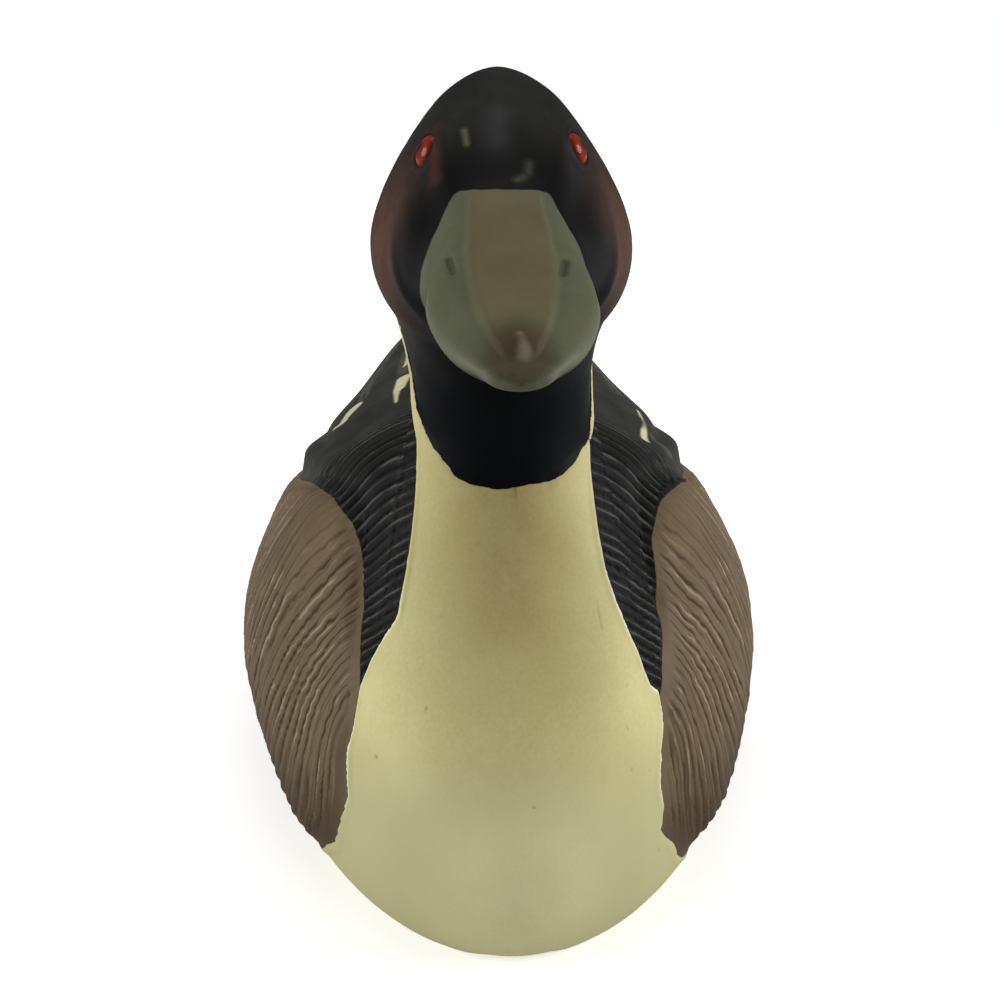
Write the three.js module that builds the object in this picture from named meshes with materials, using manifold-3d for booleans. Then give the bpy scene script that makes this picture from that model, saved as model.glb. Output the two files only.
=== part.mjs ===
// Miniature duck decoy: a pintail drake with a flat base, cast as one body and painted by hand,
// with two glass eyes set into sockets at the sides of the head.
// Millimetres. The duck looks along -Y, +Z is up, and Z = 0 is the flat base it stands on.
import * as THREE from 'three';
import { mergeVertices } from 'three/addons/utils/BufferGeometryUtils.js';
import Module from 'manifold-3d';

// Resolution of the skin: rows between two stations, rings of the rounded ends, and columns up
// each side, under and over the carved edge that runs along the body. Behind the breast the flat
// base is one wide column, up to BASE_ANGLE degrees.
const ROWS = 4;
const CAP_RINGS = 3;
const COLUMNS_UNDER = 11;
const COLUMNS_OVER = 10;
const BASE_ANGLE = -66;
const BASE_END = { from: 8, to: 10 };

// Lines of the body, from the tip of the tail to the tip of the bill.
// Each station is a section plane through its point on the back and its point on the belly.
// half is the half width. section holds the level where it is widest (0 belly, 1 back) and the
// fullness of the outline over and under that level (2 is an ellipse).
const STATIONS = [
  { name: 'tail tip', back: [82.3, 44.8], belly: [82.1, 43.4], half: 1.2, section: [0.5, 2, 2] },
  { name: 'tail', back: [73, 41.6], belly: [72, 38.6], half: 5.2, section: [0.5, 2, 2] },
  { name: 'tail root', back: [62, 40.5], belly: [60, 30], half: 10, section: [0.5, 2, 2.1] },
  { name: 'rump', back: [50, 44.2], belly: [48, 14], half: 16.5, section: [0.5, 2.2, 2.1] },
  { name: 'vent', back: [37, 46], belly: [36, 1.8], half: 20.6, section: [0.4, 2.3, 2.2] },
  { name: 'hip', back: [22, 45], belly: [22, -2.6], half: 26.5, section: [0.345, 2, 2.3] },
  { name: 'middle', back: [7.6, 43.6], belly: [5, -3], half: 31.4, section: [0.34, 1.85, 2.3] },
  { name: 'shoulder', back: [-8, 43], belly: [-12.2, -3.1], half: 31.2, section: [0.38, 1.75, 2.2] },
  { name: 'cape', back: [-19, 42.6], belly: [-28, -2.8], half: 29, section: [0.38, 1.9, 2.03] },
  { name: 'crop', back: [-27.7, 43.2], belly: [-45.4, -2.1], half: 24.6, section: [0.35, 2, 2.04] },
  { name: 'breast', back: [-32.8, 45.4], belly: [-60.9, -0.7], half: 18.7, section: [0.34, 2, 1.95] },
  { name: 'upper breast', back: [-34.4, 48.5], belly: [-66.4, 13.9], half: 12.4, section: [0.375, 2, 1.96] },
  { name: 'neck foot', back: [-35.4, 52], belly: [-60.4, 28], half: 9.9, section: [0.42, 2, 1.97] },
  { name: 'neck', back: [-35.4, 56.3], belly: [-55.6, 38.9], half: 8.3, section: [0.47, 2, 2] },
  { name: 'throat', back: [-34.5, 61.8], belly: [-54.4, 48], half: 8.7, section: [0.48, 2, 2] },
  { name: 'nape', back: [-35.3, 68.5], belly: [-58.4, 53], half: 10.25, section: [0.48, 1.85, 2.05] },
  { name: 'cheek', back: [-39.5, 74.8], belly: [-61.4, 54.4], half: 11, section: [0.44, 1.73, 2.1] },
  { name: 'crown', back: [-47.2, 77.1], belly: [-62.6, 55.2], half: 9.4, section: [0.36, 1.8, 2.1] },
  { name: 'brow', back: [-55.8, 73.6], belly: [-64.3, 56], half: 8.3, section: [0.34, 1.88, 2.2] },
  { name: 'bill root', back: [-60.8, 67.7], belly: [-66.4, 57], half: 5.8, section: [0.32, 2.35, 2.4] },
  { name: 'bill', back: [-67.6, 64.1], belly: [-70.8, 57.6], half: 5.75, section: [0.36, 2.6, 2.4] },
  { name: 'bill spoon', back: [-74.8, 61.3], belly: [-76, 57.4], half: 5.5, section: [0.42, 2.6, 2.4] },
  { name: 'bill end', back: [-79.8, 59.2], belly: [-79.8, 56.1], half: 4.1, section: [0.48, 2.3, 2.2] },
  { name: 'nail', back: [-82.2, 57.6], belly: [-82.2, 55.9], half: 2.1, section: [0.5, 2, 2] },
];

// Carved edge, in degrees round the section at each station: along the top of the flank, round its
// front end, up the side of the neck, past the eye, and along the ridge of the bill.
const CARVED_EDGE = [
  16, 19, 22, 25, 28.5, 30, 31, 36, 43, 45, 36, -14, -25, -22, 0, 10, 12, 24, 42, 57, 66, 66, 60, 40,
];
const EDGE_HALF = 2.5;

// Round front end of the flank: where it starts and how long it is, in stations, and its middle
// and reach up and down in degrees. soft widens its edge, in degrees.
const FLANK_NOSE = { from: 9, length: 1.72, middle: -5, up: 50, down: 31, soft: 4, fade: 0.3 };

// Relief carved on the body. rise and depth are millimetres, offset and width are degrees round the
// section (offset is counted up from the carved edge), and the rest is in stations.
const FLANK = { rise: 0.9, footWidth: 16, from: 1.8, full: 3.4 };
const VALLEY = { depth: 0.6, offset: 4, width: 4, from: 3, full: 5 };
const LOBE = { rise: 1.9, offset: 7, width: 4.5, station: 6.3, length: 0.9 };
const WING = { rise: 1.1, offset: 13, front: 6.95, tip: 2.35, fade: 0.3, taper: 12, narrowsFrom: 4.4 };
const TAIL_RIDGE = { rise: 0.5, edge: 50, crest: 75, from: 2.3, full: 1.6, tip: 0.6 };
const PLAIN_BELLY = { under: -50, over: -40 };

// Relief of the head: flat ridge of the bill, channel that the eye lies in, and brow over it.
const CULMEN = { rise: 0.45, half: 24, soft: 4, root: 18.8, full: 19.3, end: 22.4, nail: 23 };
const EYE_CHANNEL = { depth: 0.6, angle: 33, width: 12, station: 17.9, length: 0.8 };
const BROW = { rise: 0.25, angle: 56, width: 9 };

// Round ends of the tail and the bill: how far each reaches past the last station. CAP_FLAT is the
// part of a ring's turn that is left as a small flat at the tip.
const CAP_FLAT = 0.5;
const TAIL_CAP = new THREE.Vector3(0, 1.2, 0.3);
const BILL_CAP = new THREE.Vector3(0, -1.2, -0.4);

// Glass eyes: ball and socket about one centre, with a thin gap of cement between them.
const EYE = { x: 5.6, y: -55.9, z: 70, ball: 1.5, socket: 1.8, flat: 0.7, sides: 14, rows: 9 };
const EYE_AXIS = new THREE.Vector3(0.82, -0.42, 0.38).normalize();

const COLOURS = { paint: 0xcfcba4, glass: 0xb4341c };

const RIGHT_ANGLE = 90;
const DEGREE = Math.PI / 180;
const SMALL = 1e-3;
const WELD = 1e-4;

// Natural cubic spline through values that stand one unit apart.
function splineThrough(values) {
  const last = values.length - 1;
  const bend = new Array(last + 1).fill(0);
  const ratio = new Array(last + 1).fill(0);
  for (let i = 1; i < last; i += 1) {
    const pivot = 4 - ratio[i - 1];
    const turn = 6 * (values[i + 1] - 2 * values[i] + values[i - 1]);
    ratio[i] = 1 / pivot;
    bend[i] = (turn - bend[i - 1]) / pivot;
  }
  for (let i = last - 1; i > 0; i -= 1) {
    bend[i] -= ratio[i] * bend[i + 1];
  }
  return (t) => {
    const i = Math.min(Math.max(Math.floor(t), 0), last - 1);
    const b = t - i;
    const a = 1 - b;
    const curve = bend[i] * (a ** 3 - a) + bend[i + 1] * (b ** 3 - b);
    return values[i] * a + values[i + 1] * b + curve / 6;
  };
}

const line = {
  backY: splineThrough(STATIONS.map((s) => s.back[0])),
  backZ: splineThrough(STATIONS.map((s) => s.back[1])),
  bellyY: splineThrough(STATIONS.map((s) => s.belly[0])),
  bellyZ: splineThrough(STATIONS.map((s) => s.belly[1])),
  half: splineThrough(STATIONS.map((s) => s.half)),
  level: splineThrough(STATIONS.map((s) => s.section[0])),
  above: splineThrough(STATIONS.map((s) => s.section[1])),
  below: splineThrough(STATIONS.map((s) => s.section[2])),
};
const carvedEdge = splineThrough(CARVED_EDGE);

// Point of the smooth body at station t and angle phi: -90 is the belly, 90 the back.
function smoothBody(t, phi) {
  const rise = Math.sin(phi * DEGREE);
  const level = line.level(t);
  const power = 2 / (rise >= 0 ? line.above(t) : line.below(t));
  const lift = Math.sign(rise) * Math.abs(rise) ** power;
  const share = level + lift * (rise >= 0 ? 1 - level : level);
  const y = line.bellyY(t) + share * (line.backY(t) - line.bellyY(t));
  const z = line.bellyZ(t) + share * (line.backZ(t) - line.bellyZ(t));
  return new THREE.Vector3(line.half(t) * Math.cos(phi * DEGREE) ** power, y, z);
}

// Smooth step from 0 at one value to 1 at another, whichever of them is larger.
function ramp(from, to, value) {
  const share = THREE.MathUtils.clamp((value - from) / (to - from), 0, 1);
  return share * share * (3 - 2 * share);
}

const bump = (centre, width, value) => Math.exp(-(((value - centre) / width) ** 2));

// Upper and lower edge of the flank, in degrees, at station t. They meet in a round front end.
function flankEdges(t) {
  const along = (t - FLANK_NOSE.from) / FLANK_NOSE.length;
  const round = along > 0 ? Math.sqrt(Math.max(1 - along * along, 0)) : 1;
  const top = along > 0 ? FLANK_NOSE.middle + FLANK_NOSE.up * round : carvedEdge(t);
  return { top, bottom: FLANK_NOSE.middle - FLANK_NOSE.down * round };
}

// Height of the flank, the valley over it, the lobe at the shoulder and the folded wing.
function bodyRelief(t, phi) {
  const { top, bottom } = flankEdges(t);
  const nose = FLANK_NOSE.from + FLANK_NOSE.length;
  const edge = EDGE_HALF + FLANK_NOSE.soft * ramp(FLANK_NOSE.from, nose, t);
  const behindNose = ramp(nose, nose - FLANK_NOSE.fade, t);

  const flank = ramp(-edge, edge, top - phi) * ramp(0, FLANK.footWidth, phi - bottom)
    * ramp(FLANK.from, FLANK.full, t) * behindNose;
  const valley = bump(top + VALLEY.offset, VALLEY.width, phi)
    * ramp(VALLEY.from, VALLEY.full, t) * behindNose;
  const lobe = bump(top + LOBE.offset, LOBE.width, phi) * bump(LOBE.station, LOBE.length, t);

  const wingEdge = top + WING.offset + WING.taper * ramp(WING.narrowsFrom, WING.tip, t);
  const wing = ramp(-EDGE_HALF, EDGE_HALF, phi - wingEdge)
    * ramp(WING.front, WING.front - WING.fade, t) * ramp(WING.tip, WING.tip + WING.fade, t);

  return FLANK.rise * flank - VALLEY.depth * valley + LOBE.rise * lobe + WING.rise * wing;
}

// Height of the channel that the eye lies in, the brow over it and the flat ridge of the bill.
function headRelief(t, phi) {
  const nearEye = bump(EYE_CHANNEL.station, EYE_CHANNEL.length, t);
  const channel = bump(EYE_CHANNEL.angle, EYE_CHANNEL.width, phi) * nearEye;
  const brow = bump(BROW.angle, BROW.width, phi) * nearEye;
  const culmen = ramp(CULMEN.half + CULMEN.soft, CULMEN.half - CULMEN.soft, RIGHT_ANGLE - phi)
    * ramp(CULMEN.root, CULMEN.full, t) * ramp(CULMEN.nail, CULMEN.end, t);
  return BROW.rise * brow - EYE_CHANNEL.depth * channel + CULMEN.rise * culmen;
}

// Height of the ridge down the middle of the tail.
function tailRelief(t, phi) {
  return TAIL_RIDGE.rise * ramp(TAIL_RIDGE.edge, TAIL_RIDGE.crest, phi)
    * ramp(TAIL_RIDGE.from, TAIL_RIDGE.full, t) * ramp(0, TAIL_RIDGE.tip, t);
}

// Height of the carving over the smooth body. The belly under it stays plain.
function relief(t, phi) {
  const height = bodyRelief(t, phi) + headRelief(t, phi) + tailRelief(t, phi);
  return height * ramp(PLAIN_BELLY.under, PLAIN_BELLY.over, phi);
}

// Point of the carved body: the smooth body moved out along its own normal, and cut flat at Z = 0.
function carvedBody(t, phi) {
  const point = smoothBody(t, phi);
  const height = relief(t, phi);
  if (Math.abs(height) > SMALL) {
    const step = SMALL;
    const end = STATIONS.length - 1;
    const along = smoothBody(Math.min(t + step, end), phi).sub(smoothBody(Math.max(t - step, 0), phi));
    const side = Math.min(phi, RIGHT_ANGLE - 1);
    const around = smoothBody(t, side + step).sub(smoothBody(t, side - step));
    const normal = around.cross(along).normalize();
    if (phi > RIGHT_ANGLE - 1) {
      normal.x = 0;
    }
    point.addScaledVector(normal, height);
  }
  point.z = Math.max(point.z, 0);
  return point;
}

// Angles of the points up one side at station t: two of them stand either side of the carved edge.
function sideAngles(t) {
  const edge = carvedEdge(t);
  const even = THREE.MathUtils.lerp(-RIGHT_ANGLE, edge - EDGE_HALF, 1 / COLUMNS_UNDER);
  const first = THREE.MathUtils.lerp(BASE_ANGLE, even, ramp(BASE_END.from, BASE_END.to, t));
  const angles = [-RIGHT_ANGLE];
  for (let k = 0; k < COLUMNS_UNDER; k += 1) {
    angles.push(THREE.MathUtils.lerp(first, edge - EDGE_HALF, k / (COLUMNS_UNDER - 1)));
  }
  for (let k = 0; k <= COLUMNS_OVER; k += 1) {
    angles.push(THREE.MathUtils.lerp(edge + EDGE_HALF, RIGHT_ANGLE, k / COLUMNS_OVER));
  }
  return angles;
}

// One ring of points round the body, with the left side mirrored from the right.
function ringAt(t) {
  const side = sideAngles(t).map((phi) => carvedBody(t, phi));
  side[0].x = 0;
  side[side.length - 1].x = 0;
  const mirrored = side.slice(1, -1).reverse().map((p) => new THREE.Vector3(-p.x, p.y, p.z));
  return [...side, ...mirrored];
}

// Rings that close in from the last ring of an end to its tip, as a quarter of an ellipse does.
function capRings(ring, reach) {
  const centre = ring.reduce((sum, p) => sum.add(p), new THREE.Vector3()).divideScalar(ring.length);
  const rings = [];
  for (let k = 1; k <= CAP_RINGS; k += 1) {
    const turn = (k / (CAP_RINGS + CAP_FLAT)) * RIGHT_ANGLE * DEGREE;
    const shift = reach.clone().multiplyScalar(Math.sin(turn));
    rings.push(ring.map((p) => p.clone().lerp(centre, 1 - Math.cos(turn)).add(shift)));
  }
  return rings;
}

// Skin of the whole body: rings from the tip of the tail to the tip of the bill, joined and closed.
function bodyGeometry() {
  const rings = [];
  for (let i = 0; i <= ROWS * (STATIONS.length - 1); i += 1) {
    rings.push(ringAt(i / ROWS));
  }
  rings.unshift(...capRings(rings[0], TAIL_CAP).reverse());
  rings.push(...capRings(rings[rings.length - 1], BILL_CAP));
  const round = rings[0].length;
  const faces = [];
  // The quads of the left side are cut the other way, so that both sides match.
  for (let i = 0; i < rings.length - 1; i += 1) {
    for (let j = 0; j < round; j += 1) {
      const a = i * round + j;
      const b = i * round + ((j + 1) % round);
      if (j < round / 2) {
        faces.push(a, b, b + round, a, b + round, a + round);
      } else {
        faces.push(a, b, a + round, b, b + round, a + round);
      }
    }
  }
  const end = (rings.length - 1) * round;
  for (let j = 1; j < round - 1; j += 1) {
    faces.push(0, j + 1, j);
    faces.push(end, end + j, end + j + 1);
  }
  const geometry = new THREE.BufferGeometry();
  const positions = rings.flat().flatMap((p) => [p.x, p.y, p.z]);
  geometry.setAttribute('position', new THREE.Float32BufferAttribute(positions, 3));
  geometry.setIndex(faces);
  return geometry;
}

// A ball at one eye, flattened along the way that the eye looks. sign is 1 for the duck's left.
function eyeBall(sign, radius) {
  const ball = new THREE.SphereGeometry(radius, EYE.sides, EYE.rows);
  const looks = new THREE.Vector3(sign * EYE_AXIS.x, EYE_AXIS.y, EYE_AXIS.z);
  ball.scale(EYE.flat, 1, 1);
  ball.applyQuaternion(new THREE.Quaternion().setFromUnitVectors(new THREE.Vector3(sign, 0, 0), looks));
  ball.translate(sign * EYE.x, EYE.y, EYE.z);
  return ball;
}

const wasm = await Module();
wasm.setup();

function toSolid(geometry) {
  const bare = geometry.clone();
  bare.deleteAttribute('normal');
  bare.deleteAttribute('uv');
  const merged = mergeVertices(bare, WELD);
  const triVerts = new Uint32Array(merged.index.array);
  const vertProperties = merged.attributes.position.array;
  return new wasm.Manifold(new wasm.Mesh({ numProp: 3, vertProperties, triVerts }));
}

function toGeometry(solid) {
  const mesh = solid.getMesh();
  const geometry = new THREE.BufferGeometry();
  const positions = new THREE.Float32BufferAttribute(mesh.vertProperties, mesh.numProp);
  geometry.setAttribute('position', positions);
  geometry.setIndex(Array.from(mesh.triVerts));
  geometry.computeVertexNormals();
  return geometry;
}

const sockets = [-1, 1].map((sign) => toSolid(eyeBall(sign, EYE.socket)));
const bodySolid = sockets.reduce((solid, socket) => solid.subtract(socket), toSolid(bodyGeometry()));

const paint = new THREE.MeshStandardMaterial({ color: COLOURS.paint, roughness: 0.5, metalness: 0 });
const decoy = new THREE.Group();
const duck = new THREE.Mesh(toGeometry(bodySolid), paint);
duck.name = 'duck';
decoy.add(duck);

for (const [name, sign] of [['left_eye', 1], ['right_eye', -1]]) {
  const glass = new THREE.MeshStandardMaterial({ color: COLOURS.glass, roughness: 0.08, metalness: 0 });
  const eye = new THREE.Mesh(eyeBall(sign, EYE.ball), glass);
  eye.name = name;
  decoy.add(eye);
}

export default decoy;
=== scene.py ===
import math
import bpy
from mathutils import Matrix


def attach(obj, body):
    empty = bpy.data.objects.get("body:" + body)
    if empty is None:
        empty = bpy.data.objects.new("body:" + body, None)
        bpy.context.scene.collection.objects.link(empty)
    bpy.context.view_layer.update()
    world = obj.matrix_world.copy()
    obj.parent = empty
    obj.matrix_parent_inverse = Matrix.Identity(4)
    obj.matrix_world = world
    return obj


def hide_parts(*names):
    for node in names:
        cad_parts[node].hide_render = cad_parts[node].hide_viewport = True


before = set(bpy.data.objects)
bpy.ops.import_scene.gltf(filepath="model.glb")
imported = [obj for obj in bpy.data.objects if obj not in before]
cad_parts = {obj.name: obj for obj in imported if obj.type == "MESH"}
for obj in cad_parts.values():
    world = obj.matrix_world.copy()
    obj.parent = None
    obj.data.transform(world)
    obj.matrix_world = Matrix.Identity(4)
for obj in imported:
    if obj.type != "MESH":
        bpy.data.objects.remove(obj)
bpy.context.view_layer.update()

from types import SimpleNamespace as Sizes

import bmesh
import bpy
import numpy as np
from mathutils import Matrix, Vector
from mathutils.kdtree import KDTree

# The casting: one solid duck with a flat base, cast in a mould taken from a carved wooden decoy.
# Its skin is a fan of sections swept from the tip of the tail, station 0, to the tip of the bill,
# station 23. Round a section, -90 degrees is the middle of the belly and 90 the middle of the back.
MM = 0.001
STATIONS = np.array([
    # back y, z, belly y, z, half width, level of the widest place, fullness over and under it
    (82.3, 44.8, 82.1, 43.4, 1.2, 0.5, 2, 2),
    (73, 41.6, 72, 38.6, 5.2, 0.5, 2, 2),
    (62, 40.5, 60, 30, 10, 0.5, 2, 2.1),
    (50, 44.2, 48, 14, 16.5, 0.5, 2.2, 2.1),
    (37, 46, 36, 1.8, 20.6, 0.4, 2.3, 2.2),
    (22, 45, 22, -2.6, 26.5, 0.345, 2, 2.3),
    (7.6, 43.6, 5, -3, 31.4, 0.34, 1.85, 2.3),
    (-8, 43, -12.2, -3.1, 31.2, 0.38, 1.75, 2.2),
    (-19, 42.6, -28, -2.8, 29, 0.38, 1.9, 2.03),
    (-27.7, 43.2, -45.4, -2.1, 24.6, 0.35, 2, 2.04),
    (-32.8, 45.4, -60.9, -0.7, 18.7, 0.34, 2, 1.95),
    (-34.4, 48.5, -66.4, 13.9, 12.4, 0.375, 2, 1.96),
    (-35.4, 52, -60.4, 28, 9.9, 0.42, 2, 1.97),
    (-35.4, 56.3, -55.6, 38.9, 8.3, 0.47, 2, 2),
    (-34.5, 61.8, -54.4, 48, 8.7, 0.48, 2, 2),
    (-35.3, 68.5, -58.4, 53, 10.25, 0.48, 1.85, 2.05),
    (-39.5, 74.8, -61.4, 54.4, 11, 0.44, 1.73, 2.1),
    (-47.2, 77.1, -62.6, 55.2, 9.4, 0.36, 1.8, 2.1),
    (-55.8, 73.6, -64.3, 56, 8.3, 0.34, 1.88, 2.2),
    (-60.8, 67.7, -66.4, 57, 5.8, 0.32, 2.35, 2.4),
    (-67.6, 64.1, -70.8, 57.6, 5.75, 0.36, 2.6, 2.4),
    (-74.8, 61.3, -76, 57.4, 5.5, 0.42, 2.6, 2.4),
    (-79.8, 59.2, -79.8, 56.1, 4.1, 0.48, 2.3, 2.2),
    (-82.2, 57.6, -82.2, 55.9, 2.1, 0.5, 2, 2),
])
LAST = len(STATIONS) - 1
CARVED_EDGE = (16, 19, 22, 25, 28.5, 30, 31, 36, 43, 45, 36, -14, -25, -22, 0, 10, 12, 24, 42, 57,
               66, 66, 60, 40)
TAIL_CAP = np.array((0, 1.2, 0.3))
BILL_CAP = np.array((0, -1.2, -0.4))

# Relief of the carving over that skin. Rises and depths are millimetres. Angles, offsets, edges and
# widths are degrees round the section, offsets counted up from the carved edge. The rest is stations.
NOSE = Sizes(start=9, length=1.72, middle=-5, up=50, down=31, soft=4, fade=0.3)
FLANK = Sizes(rise=0.9, edge=2.5, foot=16, start=1.8, full=3.4)
VALLEY = Sizes(depth=0.6, offset=4, width=4, start=3, full=5)
LOBE = Sizes(rise=1.9, offset=7, width=4.5, station=6.3, length=0.9)
WING = Sizes(rise=1.1, edge=2.5, offset=13, taper=12, narrows=4.4, front=6.95, tip=2.35, fade=0.3)
EYE_CHANNEL = Sizes(depth=0.6, angle=33, width=12, station=17.9, length=0.8)
BROW = Sizes(rise=0.25, angle=56, width=9)
CULMEN = Sizes(rise=0.45, half=24, soft=4, root=18.8, full=19.3, end=22.4, nail=23)
TAIL_RIDGE = Sizes(rise=0.5, edge=50, crest=75, start=2.3, full=1.6, tip=0.6)
PLAIN_BELLY = Sizes(under=-50, over=-40)


def spline_through(values):
    """Natural cubic spline through values that stand one unit apart."""
    values = np.asarray(values, float)
    last = len(values) - 1
    bend = np.zeros(last + 1)
    ratio = np.zeros(last + 1)
    for i in range(1, last):
        pivot = 4 - ratio[i - 1]
        turn = 6 * (values[i + 1] - 2 * values[i] + values[i - 1])
        ratio[i] = 1 / pivot
        bend[i] = (turn - bend[i - 1]) / pivot
    for i in range(last - 1, 0, -1):
        bend[i] -= ratio[i] * bend[i + 1]

    def at(t):
        i = np.clip(np.floor(t).astype(int), 0, last - 1)
        b = t - i
        a = 1 - b
        curve = bend[i] * (a ** 3 - a) + bend[i + 1] * (b ** 3 - b)
        return values[i] * a + values[i + 1] * b + curve / 6

    return at


body_lines = [spline_through(column) for column in STATIONS.T]
carved_edge = spline_through(CARVED_EDGE)


def ramp(start, end, value):
    share = np.clip((value - start) / (end - start), 0, 1)
    return share * share * (3 - 2 * share)


def bump(centre, width, value):
    return np.exp(-((value - centre) / width) ** 2)


def smooth_body(t, phi):
    """Points of the body before carving, in millimetres, on the duck's left."""
    back_y, back_z, belly_y, belly_z, half, level, above, below = (line(t) for line in body_lines)
    rise = np.sin(np.radians(phi))
    power = 2 / np.where(rise >= 0, above, below)
    share = level + np.sign(rise) * np.abs(rise) ** power * np.where(rise >= 0, 1 - level, level)
    x = half * np.maximum(np.cos(np.radians(phi)), 0) ** power
    return np.stack([x, belly_y + share * (back_y - belly_y), belly_z + share * (back_z - belly_z)], -1)


def outward(t, phi):
    """Unit normals of the smooth body."""
    step = 1e-3
    along = smooth_body(np.minimum(t + step, LAST), phi) - smooth_body(np.maximum(t - step, 0), phi)
    side = np.clip(phi, -89, 89)
    around = smooth_body(t, side + step) - smooth_body(t, side - step)
    normal = np.cross(around, along)
    normal /= np.linalg.norm(normal, axis=-1, keepdims=True)
    normal[..., 0] = np.where(np.abs(phi) > 89, 0, normal[..., 0])
    return normal


def flank_edges(t):
    """Upper and lower edge of the flank, in degrees, which meet in a round front end."""
    along = (t - NOSE.start) / NOSE.length
    curve = np.where(along > 0, np.sqrt(np.maximum(1 - along * along, 0)), 1)
    return (np.where(along > 0, NOSE.middle + NOSE.up * curve, carved_edge(t)),
            NOSE.middle - NOSE.down * curve)


def carving(t, phi):
    """Height of the carving over the smooth body: flanks, wings, tail, brows and bill."""
    top, bottom = flank_edges(t)
    front = NOSE.start + NOSE.length
    behind_nose = ramp(front, front - NOSE.fade, t)
    edge = FLANK.edge + NOSE.soft * ramp(NOSE.start, front, t)
    flank = (ramp(-edge, edge, top - phi) * ramp(0, FLANK.foot, phi - bottom)
             * ramp(FLANK.start, FLANK.full, t) * behind_nose)
    valley = (bump(top + VALLEY.offset, VALLEY.width, phi) * ramp(VALLEY.start, VALLEY.full, t)
              * behind_nose)
    lobe = bump(top + LOBE.offset, LOBE.width, phi) * bump(LOBE.station, LOBE.length, t)
    wing_edge = top + WING.offset + WING.taper * ramp(WING.narrows, WING.tip, t)
    wing = (ramp(-WING.edge, WING.edge, phi - wing_edge) * ramp(WING.front, WING.front - WING.fade, t)
            * ramp(WING.tip, WING.tip + WING.fade, t))
    near_eye = bump(EYE_CHANNEL.station, EYE_CHANNEL.length, t)
    channel = bump(EYE_CHANNEL.angle, EYE_CHANNEL.width, phi) * near_eye
    brow = bump(BROW.angle, BROW.width, phi) * near_eye
    culmen = (ramp(CULMEN.half + CULMEN.soft, CULMEN.half - CULMEN.soft, 90 - phi)
              * ramp(CULMEN.root, CULMEN.full, t) * ramp(CULMEN.nail, CULMEN.end, t))
    tail = (ramp(TAIL_RIDGE.edge, TAIL_RIDGE.crest, phi)
            * ramp(TAIL_RIDGE.start, TAIL_RIDGE.full, t) * ramp(0, TAIL_RIDGE.tip, t))
    height = (FLANK.rise * flank - VALLEY.depth * valley + LOBE.rise * lobe + WING.rise * wing
              + BROW.rise * brow - EYE_CHANNEL.depth * channel + CULMEN.rise * culmen
              + TAIL_RIDGE.rise * tail)
    return height * ramp(PLAIN_BELLY.under, PLAIN_BELLY.over, phi)


def carved_body(t, phi):
    """Points of the carved body on the duck's left, with the round ends of the tail and the bill."""
    t, phi = np.asarray(t, float), np.asarray(phi, float)
    inside = np.clip(t, 0, LAST)
    points = smooth_body(inside, phi) + outward(inside, phi) * carving(inside, phi)[..., None]
    ring = np.linspace(-90, 270, 61)[:-1]
    for end, beyond, reach in ((0, -t, TAIL_CAP), (LAST, t - LAST, BILL_CAP)):
        rim = smooth_body(np.full(ring.shape, float(end)), np.where(ring > 90, 180 - ring, ring))
        centre = np.array((0, rim[:, 1].mean(), rim[:, 2].mean()))
        turn = (np.clip(beyond, 0, 1) * math.pi / 2)[..., None]
        rounded = centre + (points - centre) * np.cos(turn) + reach * np.sin(turn)
        points = np.where(turn > 0, rounded, points)
    points[..., 2] = np.maximum(points[..., 2], 0)
    return points


# Paint lines of the body, as station and degrees, for the duck's right (-1) and left (1). The ivory
# runs from the belly over the breast, ends in a thin stripe up each side of the neck, and meets the
# flank along the seam.
SEAM = {
    -1: [(4, -37), (6, -36), (8.6, -36), (9.5, -31), (9.93, -25.7), (10.07, -25.7), (10.21, -23.2),
         (10.43, -19.9), (10.56, -10.5), (10.65, -8)],
    1: [(4, -37), (6, -36), (8.6, -36), (9.5, -36), (9.81, -34.6), (10.03, -33.7), (10.18, -31.7),
        (10.42, -33.4), (10.5, -27.8), (10.61, -25.9), (10.68, -19.7)],
}
IVORY_OUTLINE = {
    -1: [(3.3, -95), (3.3, -46), *SEAM[-1], (10.8, -1), (11, -2.2), (11.27, -8.5), (11.68, -21.2),
         (11.79, -21.5), (12.05, -23.9), (12.33, -24.2), (12.62, -23.5), (13.11, -19.6), (13.2, -8),
         (13.3, 2), (13.8, 8), (14.6, 13), (15.6, 13), (15.3, 5), (14.8, -4), (14.3, -12), (13.98, -15),
         (13.57, -17), (13.48, -19.6), (13.4, -32), (13.35, -46.4), (13.29, -58.5), (13.29, -65.3),
         (13.31, -78), (13.31, -95)],
    1: [(3.3, -95), (3.3, -46), *SEAM[1], (10.72, -10), (10.81, -6), (10.95, -10.3), (11.21, -11.8),
        (11.69, -21.3), (11.77, -23.1), (12.07, -27.5), (12.35, -27.6), (12.62, -26), (12.92, -24.1),
        (13.08, -21.5), (13.02, -6), (13.2, 10), (13.8, 20), (14.6, 26), (15.6, 23), (15.2, 18),
        (14.8, 14), (14.1, 8), (13.6, 2), (13.25, -9), (13.12, -21), (13.2, -31.8), (13.22, -45.6),
        (13.25, -59.1), (13.32, -75.5), (13.32, -95)],
}
FLANK_REAR = [(3.2, -33), (2.6, -26), (2.2, -12), (2.15, 2), (2.4, 14), (3, 24), (4, 28.5), (5, 30),
              (6, 31.5)]
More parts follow.
